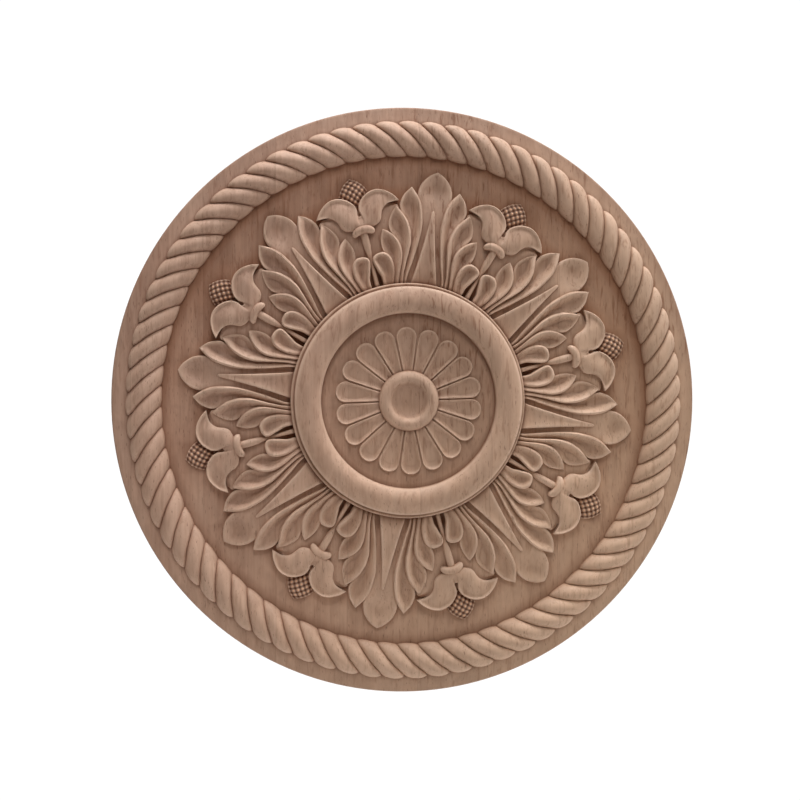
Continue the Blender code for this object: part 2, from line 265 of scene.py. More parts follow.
def scoopedLobe(name, lobe):
    # a scooped form between two edges, with a rounded ridge along one and a lip along the other
    near, far = fromFoot(lobe["near"]), fromFoot(lobe["far"])
    ridge, lip = lobe.get("ridge", leaf["ridge"]), lobe.get("lip", leaf["lip"])
    nearCurve, farCurve = evenCurve(near, lobe["rows"]), evenCurve(far, lobe["rows"])
    spots = betweenEdges(nearCurve, farCurve, leaf["columns"])
    shares = np.linspace(0, 1, lobe["rows"])
    ridgeTop, scoop, lipTop = (heightsAlong(lobe[title], shares)[:, None]
                               for title in ("ridgeHeights", "scoopHeights", "lipHeights"))
    width = np.linalg.norm(farCurve - nearCurve, axis=1)[:, None]
    depthShare = np.clip(width / leaf["scoopWidth"], 0, 1) ** leaf["scoopPower"]
    scoop = np.minimum(ridgeTop, lipTop) * (1 - depthShare) + scoop * depthShare
    narrow = np.clip(width / (ridge[0] + ridge[1] + lip[0]), leaf["narrowest"], 1)
    fromNear, fromFar = (distanceTo(spots, evenCurve(edge, layout["edgeSamples"])) for edge in (near, far))
    ridgeRise = (ridgeTop - scoop) * edgeBead(fromNear, ridge[0] * narrow, ridge[1] * narrow)
    lipRise = np.maximum(lipTop - scoop, 0) * edgeBead(fromFar, lip[0] * narrow, lip[1] * narrow)
    points = np.dstack([spots, scoop + softMax(ridgeRise, lipRise)])
    return gridForm(name, skirted(points, layout["bottom"]))


def endLobe():
    rows = leaf["endRows"]
    right = evenCurve(fromFoot(leaf["endEdge"]), rows)
    left = right * (-1, 1)
    spots = betweenEdges(left, right, leaf["columns"])
    shares = np.linspace(0, 1, rows)
    rim = heightsAlong(leaf["endRimHeights"], shares)[:, None]
    scoop = heightsAlong(leaf["endScoopHeights"], shares)[:, None]
    edge = evenCurve(leaf["endEdge"], layout["edgeSamples"])
    nearest = distanceTo(np.dstack([np.abs(spots[..., 0]), spots[..., 1]]), edge)
    height = scoop + (rim - scoop) * edgeBead(nearest, *leaf["endBead"])
    return gridForm("endLobe", skirted(np.dstack([spots, height]), layout["bottom"]))


def wedge():
    rows = leaf["wedgeRows"]
    keys = np.array(leaf["wedge"])
    along = splineAt(keys, np.linspace(0, len(keys) - 1, rows))
    across = np.array(leaf["wedgeColumns"])
    distance, halfWidth, top = (along[:, k][:, None] for k in range(3))
    x = halfWidth * across[None, :]
    fromEdge = halfWidth * (1 - np.abs(across))[None, :]
    rounding = leaf["wedgeRound"]
    drop = rounding * (1 - quarterRound(fromEdge / rounding))
    room = np.clip(halfWidth / leaf["wedgeHollowWidth"], 0, 1)
    hollow = leaf["wedgeHollow"] * room * softStep((fromEdge - rounding) / leaf["wedgeHollowReach"])
    points = np.dstack([x, np.broadcast_to(distance, x.shape), top - drop - hollow])
    return gridForm("wedge", skirted(points, layout["bottom"]))


def makeLeaves():
    forms = placedCopies(endLobe(), layout["leafAngle"])
    forms += placedCopies(wedge(), layout["leafAngle"])
    for name, lobe in leaf["lobes"].items():
        forms += placedCopies(scoopedLobe(name, lobe), layout["leafAngle"], mirrored=True)
    print("leaves", len(forms), "forms")
    return forms


# eight bell flowers with their seed heads

flower = {
    # the two petals as one bell: upper edge, lower edge, and the heights of the upper
    # edge, the bulge and the lower edge, from the middle to one petal's curled tip
    "bell": [
        ((0, 160.9), (0, 148.5), 22.2, 24.4, 20.8),
        ((1.4, 162.2), (2.6, 148.7), 21.6, 24.4, 20.8),
        ((0.85, 166.2), (5.2, 149.2), 21.2, 24.4, 20.8),
        ((1.7, 170.4), (8.4, 150.1), 21.2, 24.3, 20.7),
        ((4.0, 173.9), (12.0, 151.1), 21.0, 24.1, 20.6),
        ((8.2, 177.6), (15.0, 152.4), 21.0, 23.7, 20.5),
        ((13.2, 179.8), (17.4, 155.2), 20.9, 23.2, 20.4),
        ((19.0, 180.4), (18.9, 159.2), 20.9, 22.5, 20.2),
        ((24.4, 178.8), (21.0, 163.0), 20.9, 21.6, 20.0),
        ((29.0, 175.8), (24.6, 165.9), 21.0, 20.8, 20.2),
        ((32.9, 171.8), (29.4, 167.0), 21.1, 20.6, 20.6),
        ((36.0, 167.0), (36.0, 166.8), 21.0, 21.0, 21.0),
    ],
    "bellSteps": 4,
    "bellSamples": 900,  # points along the outline that the lip is measured from
    "bulgePlace": 0.66,  # share of the way from the upper to the lower edge
    "bellColumns": (0, 0.03, 0.07, 0.12, 0.19, 0.28, 0.39, 0.51, 0.63, 0.75, 0.85, 0.93, 0.98, 1),
    "lip": (0.55, 0.605, 0.4),  # distance in from the outline, half width and height
    "cupDepth": 1.1,
    "cupRise": (0.6, 2.5),  # the cup begins this far in, and deepens over this distance
    "cupFall": (3.1, 9.0),  # from here it gets shallower over this distance
    "cupMiddle": (2.0, 8.0),  # the same from the flower's axis, where there is no cup
    "fullWidth": 7.0,  # a petal narrower than this has less lip and cup
    "edgeDrop": (0.5, 0.25),  # height and reach of the small round on the outline
    # the low ground round the stem and behind the bell: distance out, half width and height
    "ground": [(99.6, 8.5, 13.0), (106, 12.5, 13.2), (112, 16.5, 14.4), (118, 20.5, 16.2), (124, 24, 17.2),
               (130, 26.6, 17.4), (137, 29, 17.4), (144, 31, 17.4), (151, 33, 17.6), (158, 34.2, 17.8),
               (163, 34.4, 17.8), (166, 31, 17.8)],
    "groundRows": 34,
    "groundColumns": 25,
    # the groove under each petal's curl
    "curl": [(38, 165.4), (33, 165.6), (28, 165.4), (24.4, 163.6), (22, 160)],
    "curlDepths": (3.0, 3.0, 2.6, 1.4, 0.3),
    "curlWidth": 1.5,
    "curlSamples": 200,
    # the cap between bell and stem: middle line, half thickness and top, from the middle outwards
    "cap": [((0, 149.8), 3.6, 26.2), ((2.7, 149.6), 3.6, 26.1), ((5.0, 148.9), 3.4, 25.7),
            ((6.9, 147.6), 2.9, 24.8), ((8.1, 146.2), 2.1, 23.6), ((8.8, 145.1), 0.8, 21.8)],
    "capRows": 31,
    "stem": [(148.5, 3.1, 23.2), (143, 3.1, 23.4), (138, 3.1, 23.2), (133, 2.9, 22.6), (129.5, 2.4, 21.8),
             (126.5, 1.9, 21.0), (123, 1.6, 20.6), (112, 1.6, 20.4), (104, 1.8, 20.6), (99.8, 2.0, 20.6)],
    "stemRows": 28,
    "roundColumns": 9,
}


def mirroredRun(half, flipped):
    # the run from one side to the other, given its half from the middle outwards
    other = half[:0:-1].copy()
    other[:, flipped] *= -1
    return np.concatenate([other, half])


def makeBell():
    keys = np.array([[*upper, *lower, a, b, c] for upper, lower, a, b, c in flower["bell"]], float)
    keys = mirroredRun(keys, (0, 2))
    along = splineAt(keys, np.linspace(0, len(keys) - 1, (len(keys) - 1) * flower["bellSteps"] + 1))
    spots = betweenEdges(along[:, 0:2], along[:, 2:4], flower["bellColumns"])
    across = np.array(flower["bellColumns"])[None, :]
    upperTop, bulge, lowerTop = (along[:, k][:, None] for k in (4, 5, 6))
    # a rounded underside, a bulge two thirds of the way down, and a slow fall to the upper edge
    peak = flower["bulgePlace"]
    fall = np.where(across < peak, 1 - softStep((peak - across) / peak),
                    np.sqrt(np.clip(1 - ((across - peak) / (1 - peak)) ** 2, 0, 1)))
    foot = np.where(across < peak, upperTop, lowerTop)
    height = foot + (bulge - foot) * fall
    outline = splineAt(keys[:, 0:2], np.linspace(0, len(keys) - 1, flower["bellSamples"]))
    fromEdge = distanceTo(spots, outline)
    width = np.linalg.norm(along[:, 0:2] - along[:, 2:4], axis=1)[:, None]
    lipPlace, lipReach, lipHeight = flower["lip"]
    lip = lipHeight * np.exp(-((fromEdge - lipPlace) / lipReach) ** 2)
    (riseFrom, rise), (fallFrom, fallOver) = flower["cupRise"], flower["cupFall"]
    middle, middleReach = flower["cupMiddle"]
    cup = softStep((fromEdge - riseFrom) / rise) * np.clip(1 - (fromEdge - fallFrom) / fallOver, 0, 1) ** 2
    cup = flower["cupDepth"] * cup * softStep((np.abs(spots[..., 0]) - middle) / middleReach)
    drop, dropReach = flower["edgeDrop"]
    height = height + np.clip(width / flower["fullWidth"], 0, 1) * (lip - cup)
    height = height - drop * np.exp(-(fromEdge / dropReach) ** 2)
    return gridForm("bell", skirted(np.dstack([spots, height]), layout["bottom"]))


def makeGround():
    keys = np.array(flower["ground"])
    along = splineAt(keys, np.linspace(0, len(keys) - 1, flower["groundRows"]))
    across = np.linspace(-1, 1, flower["groundColumns"])[None, :]
    distance, halfWidth, top = (along[:, k][:, None] for k in range(3))
    x = halfWidth * across
    y = np.broadcast_to(distance, x.shape)
    curl = evenCurve(flower["curl"], flower["curlSamples"])
    gaps = np.hypot(np.abs(x)[:, :, None] - curl[:, 0], y[:, :, None] - curl[:, 1])
    shares = gaps.argmin(-1).ravel() / (flower["curlSamples"] - 1)
    depth = heightsAlong(flower["curlDepths"], shares).reshape(x.shape)
    height = top - depth * np.exp(-(gaps.min(-1) / flower["curlWidth"]) ** 2)
    return gridForm("ground", skirted(np.dstack([x, y, height]), layout["bottom"]))


def roundBar(name, middles, halfWidths, tops, sides):
    # a bar with a half-round top along a line of middles
    turns = np.linspace(-math.pi / 2, math.pi / 2, flower["roundColumns"])
    across = np.sin(turns)[None, :]
    swell = np.cos(turns)[None, :]
    middles, sides = middles[:, None, :], sides[:, None, :]
    halfWidths, tops = halfWidths[:, None], tops[:, None]
    shoulder = np.maximum(tops - halfWidths, layout["bottom"] + 1)
    spots = middles + sides * (across * halfWidths)[:, :, None]
    points = np.dstack([spots, shoulder + (tops - shoulder) * swell])
    return gridForm(name, skirted(points, layout["bottom"]))


def makeCap():
    half = np.array([[x, y, thick, top] for (x, y), thick, top in flower["cap"]], float)
    keys = mirroredRun(half, 0)
    along = splineAt(keys, np.linspace(0, len(keys) - 1, flower["capRows"]))
    steps = np.gradient(along[:, 0:2], axis=0)
    steps /= np.linalg.norm(steps, axis=1)[:, None]
    sides = np.column_stack([steps[:, 1], -steps[:, 0]])
    return roundBar("cap", along[:, 0:2], along[:, 2], along[:, 3], sides)


def makeStem():
    keys = np.array(flower["stem"])
    along = splineAt(keys, np.linspace(0, len(keys) - 1, flower["stemRows"]))
    middles = np.column_stack([np.zeros(len(along)), along[:, 0]])
    sides = np.tile((1.0, 0.0), (len(along), 1))
    return roundBar("stem", middles, along[:, 1], along[:, 2], sides)


seedHead = {
    "apex": 194.2,
    "halfWidth": 12.4,
    "halfLength": 12.8,
    "swell": 5.6,  # how strongly the two outer sides bow out, mm
    "crown": (15.8, 21.0),  # height at the outline and at the middle
    "crownPower": 0.4,  # the smaller, the flatter its top
    "knobs": 5,  # along each side
    "knobHeight": 2.4,
    "saddle": 0.3,  # how high each ridge stands between two knobs, as a share
    "pitShadeSlope": 1.5,
    "knobLight": -0.4,  # on top of a knob, for its painted highlight
    "pale": 0.0667,  # share of a side beyond which the pits get the full painted shade
    "cells": 35,
}


def makeSeedHead():
    count = seedHead["cells"] + 1
    one, two = np.meshgrid(np.linspace(0, 1, count), np.linspace(0, 1, count))
    right, left = one * (1 - one) * (1 - two), two * (1 - two) * (1 - one)
    x = (one - two) * seedHead["halfWidth"] + (right - left) * seedHead["swell"]
    y = seedHead["apex"] - (one + two) * seedHead["halfLength"] + (right + left) * seedHead["swell"]
    dome = np.clip(np.sin(np.pi * one) * np.sin(np.pi * two), 0, 1)
    low, high = seedHead["crown"]
    base = low + (high - low) * dome ** seedHead["crownPower"]
    first, second = (0.5 + 0.5 * np.cos(2 * np.pi * seedHead["knobs"] * part) for part in (one, two))
    saddle = seedHead["saddle"]
    knobs = saddle * (first + second) + (1 - 2 * saddle) * first * second
    height = base + seedHead["knobHeight"] * (knobs - 1)
    form = gridForm("seedHead", skirted(np.dstack([x, y, height]), layout["bottom"]))
    # the pits between the knobs get painted shade, and the knob tops a painted highlight
    table = np.column_stack([x.ravel(), y.ravel()])
    values = np.clip(1 - seedHead["pitShadeSlope"] * knobs, seedHead["knobLight"], 1)
    values = (values * softStep(np.minimum(one, two) / seedHead["pale"])).ravel()
    nearest = [((table - spot[:2]) ** 2).sum(1).argmin() for spot in pointsOf(form)]
    addMask(form, "pitShadeAndKnobLight", values[nearest])
    return form


def makeFlowers():
    forms = []
    for form in (makeSeedHead(), makeBell(), makeGround(), makeCap(), makeStem()):
        forms += placedCopies(form, layout["flowerAngle"])
    print("flowers", len(forms), "forms")
    return forms


# the rope border

rope = {
    "radius": 222.8,
    "halfWidth": 15.5,
    "strands": 75,
    "foot": 13.8,
    "crest": 25.0,
    "grooveDepth": 4.3,
    "scallops": (1.7, 3.2),  # how far the strands' ends stand out past the grooves, inside and outside
    # each groove's path over the rope: radius, and place in strands past its zero angle
    "groove": [(207.3, -1.30), (211.5, -1.13), (216.5, -0.87), (221, -0.65), (225.3, -0.42), (229, -0.20),
               (232.3, 0.0), (235.3, 0.14), (238.3, 0.22)],
    "columnShares": (0, 0.05, 0.14, 0.3, 0.5, 0.7, 0.86, 0.95),
    "rows": 15,
    "fullness": 0.62,  # the smaller, the rounder each strand
    "arch": (0.9, 0.5),  # the same for the rope's own section, at the crests and in the grooves
}


def makeRope():
    turns = np.linspace(-math.pi / 2, math.pi / 2, rope["rows"])
    columns = np.array([k + share for k in range(rope["strands"]) for share in rope["columnShares"]])
    columns = np.append(columns, rope["strands"])
    phase = columns[:, None]
    across = np.sin(turns)[None, :]
    inStrand = phase - np.floor(phase)
    swell = np.clip(1 - (2 * inStrand - 1) ** 2, 0, 1) ** rope["fullness"]
    scallop = np.where(across < 0, *rope["scallops"])
    radius = rope["radius"] + (rope["halfWidth"] - scallop * (1 - swell)) * across
    crestPower, groovePower = rope["arch"]
    arch = np.cos(turns)[None, :] ** crestPower
    groove = rope["grooveDepth"] * (1 - swell) * arch ** groovePower
    height = rope["foot"] + (rope["crest"] - rope["foot"]) * arch - groove
    path = np.array(rope["groove"])
    angle = (phase + np.interp(radius, path[:, 0], path[:, 1])) * 2 * math.pi / rope["strands"]
    points = np.dstack([radius * np.cos(angle), radius * np.sin(angle), height])
    low = points.copy()
    low[..., 2] = layout["bottom"]
    points = np.concatenate([low[:, :1], points, low[:, -1:], low[:, :1]], axis=1)
    print("rope", rope["strands"], "strands")
    return [gridForm("rope", points)]


# the petals in the middle

rosette = {
    "petals": 18,
    "firstAngle": 12.0,
    "edge": [(3.75, 24.2), (5.1, 32), (6.5, 40), (7.9, 48), (8.75, 53), (8.55, 56), (7.3, 58.9), (5.2, 61),
             (2.7, 62.2), (0, 62.6)],
    "beadHeight": 28.5,
    "floorHeights": (27.6, 27.2, 26.9, 26.7, 26.6, 26.7, 27.0),
    "bead": (0.75, 1.5),
    "beadStart": 0.4,
    "hollow": (0.7, 1.5, 5.0),  # depth, where it starts from the edge, and over what distance
    "rows": 24,
    "bottom": 24.0,
}


def makeRosette():
    right = evenCurve(rosette["edge"], rosette["rows"])
    spots = betweenEdges(right * (-1, 1), right, leaf["columns"])
    edge = evenCurve(rosette["edge"], layout["edgeSamples"])
    nearest = distanceTo(np.dstack([np.abs(spots[..., 0]), spots[..., 1]]), edge)
    floor = heightsAlong(rosette["floorHeights"], np.linspace(0, 1, rosette["rows"]))[:, None]
    depth, start, reach = rosette["hollow"]
    hollow = depth * softStep((nearest - start) / reach)
    bead = edgeBead(nearest, *rosette["bead"], start=rosette["beadStart"])
    height = floor - hollow + (rosette["beadHeight"] - floor) * bead
    petal = gridForm("petal", skirted(np.dstack([spots, height]), rosette["bottom"]))
    petals = placedCopies(petal, rosette["firstAngle"], rosette["petals"])
    print("rosette", len(petals), "petals")
    return petals


# the turned board with its moulding and button

board = {
    "radius": 250.0,
    "steps": 180,
    "backRound": 1.0,
    "frontRound": 1.6,
    "edgeHeight": 11.8,
    "between": (120.0, 5.0),  # radius of a point on the flat back and height of one on the edge
    # points of the profile, as radius and height, between its rounded stretches
    "rim": [(247.8, 11.95), (244, 12.55), (240.5, 13.1), (238.8, 13.4), (236, 13.8)],
    "ground": [(222, 13.2), (209, 13.3), (206, 13.5), (200, 13.6), (185, 13.6), (165, 13.5), (140, 13.2),
               (115, 12.6), (103, 12.4), (100.6, 12.2), (99.9, 12.6), (99.8, 16), (99.75, 24.4)],
    "filletRound": ((98.7, 25.0), 1.05),  # middle and radius
    "mouldingFoot": [(97.6, 25.85), (97.0, 25.7), (96.75, 26.2), (96.65, 30.4)],
    "mouldingCrest": (83.8, 37.0),
    "mouldingOuter": (12.8, 32.8),  # width from the crest and height of the foot
    "mouldingInner": (9.6, 29.2),
    "innerGround": [(74.15, 26.1), (73.8, 25.6), (70, 25.5), (58, 25.5), (54, 26.3), (45, 26.6), (27, 26.6),
                    (25.7, 26.4)],
    "button": [(25.5, 26.8), (25.6, 28.0), (25.3, 29.6), (24.4, 31.6), (22.9, 33.1), (21.0, 34.0),
               (19.2, 34.2), (17.6, 33.8), (16.2, 32.9), (15.1, 31.6), (14.3, 30.4), (12.6, 29.2),
               (9.6, 28.3), (5.5, 27.7), (0, 27.5)],
    "fields": (13.5, 25.5),  # the plain ground's height outside and inside the moulding
}


def arc(centre, radius, startDegrees, endDegrees, steps, stretch=1.0):
    turns = np.radians(np.linspace(startDegrees, endDegrees, steps))
    return [(centre[0] + radius * math.cos(t), centre[1] + stretch * radius * math.sin(t)) for t in turns]


def boardProfile():
    # from the middle of the back, round the edge, to the middle of the front
    radius, backRound, frontRound = board["radius"], board["backRound"], board["frontRound"]
    crest, top = board["mouldingCrest"]
    outerWidth, outerFoot = board["mouldingOuter"]
    innerWidth, innerFoot = board["mouldingInner"]
    lean = 2 * math.atan((top - outerFoot) / outerWidth)  # slope of the moulding's outer side at its foot
    bend = outerWidth / math.sin(lean)
    onBack, onEdge = board["between"]
    profile = [(0, 0), (onBack, 0), (radius - backRound, 0)]
    profile += arc((radius - backRound, backRound), backRound, -60, 0, 3)
    profile += [(radius, onEdge)]
    profile += arc((radius - frontRound, board["edgeHeight"] - frontRound), frontRound, 0, 80, 6)
    profile += board["rim"] + board["ground"]
    profile += arc(*board["filletRound"], 0, 105, 5)
    profile += board["mouldingFoot"]
    profile += arc((crest, top - bend), bend, 90 - math.degrees(lean), 86, 12)
    profile += arc((crest, innerFoot), innerWidth, 90, 180, 12, (top - innerFoot) / innerWidth)
    return np.array(profile + board["innerGround"] + board["button"], float)


def makeBoard():
    profile = boardProfile()
    angles = np.linspace(0, 2 * math.pi, board["steps"] + 1)
    angles[-1] = 0
    radius, height = profile[:, 0][:, None], profile[:, 1][:, None]
    points = np.dstack([radius * np.cos(angles)[None, :], radius * np.sin(angles)[None, :],
                        np.broadcast_to(height, (len(profile), len(angles)))])
    print("board", len(profile), "turned points")
    return [gridForm("board", points)]


# the whole carving as one piece

def joined(forms, name):
    bpy.ops.object.select_all(action="DESELECT")
    for form in forms:
        form.select_set(True)
    bpy.context.view_layer.objects.active = forms[0]
    bpy.ops.object.join()
    whole = bpy.context.object
    whole.name = whole.data.name = name
    return whole


def blurred(heights, spread):
    # the height map smoothed over a distance, given in cells
    size = heights.shape[0]
    steps = np.fft.fftfreq(size)
    gain = np.exp(-2 * (math.pi * spread * steps) ** 2)
    return np.real(np.fft.ifft2(np.fft.fft2(heights) * gain[:, None] * gain[None, :]))


relief = {
    "cell": 1.0,  # mm, of the height map
    "border": 6.0,  # round the board
    "outside": 11.4,  # height given to the map there
    "rayHeight": 60.0,
    "frontFrom": 11.0,  # what lies lower gets no painted shade, painted highlight, wear or stain
    "broadSpread": 13.0,
    "wideSpread": 3.4,
    "narrowSpread": 1.3,
    "sunkenDepth": 6.0,
    "groundReach": 2.5,
    "innerShare": 0.34,  # the ground inside the moulding is less sunken
    "hollowDepth": 6.0,
    "hollowShadeShare": 0.8,
    "creaseDepth": 1.8,
    "creaseShare": 0.55,
    "ridgeHeight": 1.6,
}


def heightMap(whole):
    # the front's height in mm on a square grid, read straight down
    margin, cell = board["radius"] + relief["border"], relief["cell"]
    count = int(2 * margin / cell)
    tree = BVHTree.FromObject(whole, bpy.context.evaluated_depsgraph_get())
    heights = np.full((count, count), relief["outside"])
    down = Vector((0, 0, -1))
    places = (np.arange(count) + 0.5) * cell - margin
    for row, y in enumerate(places):
        for column, x in enumerate(places):
            if math.hypot(x, y) < board["radius"]:
                hit = tree.ray_cast(Vector((x, y, relief["rayHeight"])) * mm, down)[0]
                if hit:
                    heights[row, column] = hit.z / mm
    return heights


def sampled(heights, spots):
    # the map's height over every spot, blended between its cells
    place = (spots[:, :2] + board["radius"] + relief["border"]) / relief["cell"] - 0.5
    low = np.clip(np.floor(place).astype(int), 0, len(heights) - 2)
    (x, y), (right, up) = low.T, np.clip(place - low, 0, 1).T
    return ((heights[y, x] * (1 - right) + heights[y, x + 1] * right) * (1 - up)
            + (heights[y + 1, x] * (1 - right) + heights[y + 1, x + 1] * right) * up)


def addReliefAttributes(whole):
    # how sunken the ground is, how deep a point lies in a hollow, how far it stands on an edge
    heights = heightMap(whole)
    spots = pointsOf(whole)
    own = spots[:, 2]
    broad, wide, narrow = (sampled(blurred(heights, relief[title] / relief["cell"]), spots)
                           for title in ("broadSpread", "wideSpread", "narrowSpread"))

    onFront = own > relief["frontFrom"]
    fromMiddle = np.hypot(spots[:, 0], spots[:, 1])
    outside = fromMiddle > board["mouldingCrest"][0]
    level = np.where(outside, *board["fields"])
    onGround = np.clip((level + relief["groundReach"] - own) / relief["groundReach"], 0, 1)
    onGround = onGround * (fromMiddle < rope["radius"]) * np.where(outside, 1.0, relief["innerShare"])
    # sunken: mask for painted shade, with some darker stain, on the low ground
    sunken = np.clip((broad - own) / relief["sunkenDepth"], 0, 1) * onGround * onFront
    # hollow and crease: mask for painted shade in hollows and creases
    hollow = relief["hollowShadeShare"] * np.clip((wide - own) / relief["hollowDepth"], 0, 1)
    crease = relief["creaseShare"] * np.clip((narrow - own) / relief["creaseDepth"], 0, 1)
    hollow = np.clip(hollow + crease, 0, 1) * onFront
    addMask(whole, "sunken", sunken)
    addMask(whole, "hollow", hollow)
    # ridge: mask for a painted highlight, with some wear, on raised edges
    addMask(whole, "ridge", np.clip((own - narrow) / relief["ridgeHeight"], 0, 1) * onFront)
    print("relief read from", heights.size, "cells")


def makeMedallion():
    forms = makeBoard() + makeRope() + makeLeaves() + makeFlowers() + makeRosette()
    whole = joined(forms, "carved_panel")
    addReliefAttributes(whole)
    whole.data.transform(Matrix.Rotation(math.radians(90), 4, "X"))
    bpy.ops.object.shade_smooth_by_angle(angle=math.radians(layout["crispAngle"]))
    whole.data.calc_loop_triangles()
    print("carving", len(whole.data.loop_triangles), "triangles")
    return whole


# the wood

def newGroup(name, inputs, outputs):
    group = bpy.data.node_groups.new(name, "ShaderNodeTree")
    for title, kind, value in inputs:
        socket = group.interface.new_socket(title, in_out="INPUT", socket_type=kind)
        socket.default_value = value
    for title, kind in outputs:
        group.interface.new_socket(title, in_out="OUTPUT", socket_type=kind)
    return group, group.nodes.new("NodeGroupInput"), group.nodes.new("NodeGroupOutput")


def addNode(tree, kind, **settings):
    node = tree.nodes.new(kind)
    for key, value in settings.items():
        setattr(node, key, value)
    return node


def mathNode(tree, operation, one, two=None, clamp=False):
    node = addNode(tree, "ShaderNodeMath", operation=operation, use_clamp=clamp)
    for socket, value in zip(node.inputs, (one, two)):
        if value is None:
            continue
        if isinstance(value, (int, float)):
            socket.default_value = value
        else:
            tree.links.new(value, socket)
    return node.outputs[0]


def mixNode(tree, share, one, two, blend="MIX"):
    node = addNode(tree, "ShaderNodeMix", data_type="RGBA", blend_type=blend)
    for socket, value in zip((node.inputs[0], node.inputs[6], node.inputs[7]), (share, one, two)):
        if isinstance(value, (int, float)):
            socket.default_value = value
        elif isinstance(value, tuple):
            socket.default_value = (*value, 1)
        else:
            tree.links.new(value, socket)
    return node.outputs[2]


def noiseNode(tree, vector, detail, roughness, stretch, distortion):
    mapping = addNode(tree, "ShaderNodeMapping")
    mapping.inputs["Scale"].default_value = stretch
    tree.links.new(vector, mapping.inputs["Vector"])
    noise = addNode(tree, "ShaderNodeTexNoise")
    looks = {"Scale": 1.0, "Detail": detail, "Roughness": roughness, "Distortion": distortion}
    for title, value in looks.items():
        noise.inputs[title].default_value = value
    tree.links.new(mapping.outputs[0], noise.inputs["Vector"])
    return noise.outputs[0]


def rampNode(tree, value, low, high):
    node = addNode(tree, "ShaderNodeMapRange", interpolation_type="SMOOTHSTEP")
    node.inputs["From Min"].default_value = low
    node.inputs["From Max"].default_value = high
    tree.links.new(value, node.inputs["Value"])
    return node.outputs[0]


woodLook = {
    "light": (0.565, 0.37, 0.277),
    "dark": (0.425, 0.253, 0.18),
    "warm": (0.555, 0.378, 0.252),
    "pore": (0.19, 0.095, 0.058),
    "stroke": (0.66, 0.56, 0.5),
    # tint of the sunken ground: painted shade with some darker stain
    "stainAndShadeTint": (0.74, 0.58, 0.47),
    # lighter raised edges: painted highlight with some sanding wear
    "wearAndHighlight": (0.74, 0.54, 0.41),
    # deep: the brown of the painted shade in hollows, creases and turned grooves
    "deep": (0.16, 0.058, 0.026),
    # the seed heads: painted highlight on the knob tops and painted shade in the pits
    "knob": (0.89, 0.465, 0.25),
    "pitShade": (0.1, 0.026, 0.008),
    # how strongly each of them shows
    "warmShare": 0.7,
    "poreShare": 0.6,
    "jointShare": 0.18,
    "wearAndHighlightShare": 0.62,
    "hollowShadeShare": 0.5,
    "knobShare": 2.0,
    # what changes over the panel, in metres: from left to right with a slant, and upwards
    "slant": 0.5,
    "rightFrom": (-0.25, 0.3),
    "topFrom": (-0.12, 0.1),
    "tone": (0.96, 0.08, 0.13, 0.16),  # plain, and what stave and mottle add and the top takes away
    "strokes": (0.18, 0.46, 0.7),  # plain, and what the upper right and the stroked stave add
    "strokedStave": ((0.0, 0.02), (0.069, 0.0695)),  # where this stave's strokes fade in and out
    "stainAndShade": (0.5, 1.05),  # plain, and what the top adds as a painted shadow of the rope
    "grooveShade": (0.66, 0.6),  # plain, and what the upper right adds as a painted shadow of the rope
    "roughness": (0.56, 0.12),  # plain, and what the dark streaks add
    "specular": 0.35,
    "bump": (0.35, 0.0004),  # strength and distance
}

grain = {
    "staveWidth": 0.0607,
    "staveStart": -0.2335,  # x of one joint
    "joint": 0.012,  # share of a stave's width
    "staveShift": 3.7,  # each stave's pattern is moved along it by up to this many metres
    # noises as detail, roughness, stretch along x, y and z, and distortion, with their lower and upper limits
    "broad": ((3.0, 0.55, (55, 55, 4.5), 0.4), (0.34, 0.68)),
    "fine": ((3.0, 0.6, (420, 420, 14), 0.0), (0.34, 0.7)),
    "strokes": ((2.0, 0.55, (360, 360, 46), 0.5), (0.52, 0.74)),
    "mottle": ((2.0, 0.6, (90, 90, 48), 0.6), (0.3, 0.7)),
    "dashes": (1.0, 0.5, (1150, 1150, 150), 0.0),
    "patches": (1.0, 0.5, (38, 38, 14), 0.0),  # where the dashes are closer together
    "broadShare": 0.55,
    "poreLimit": (0.78, 0.2, 14.0),  # least noise for a pore, what patches take off it, and sharpness
    "fineHeight": 0.5,
}

# rings of painted shade along the turned grooves and edges: radius and reach in mm, and strength
turnedGrooves = {
    "rings": [(250.0, 11.0, 0.34), (206.5, 10.0, 0.34), (100.6, 1.9, 0.65), (96.9, 1.0, 0.3),
              (86.5, 12.0, 0.1), (74.0, 0.9, 0.4), (25.8, 1.1, 0.4)],
    "front": (0.009, 0.0105),  # only above this height
}


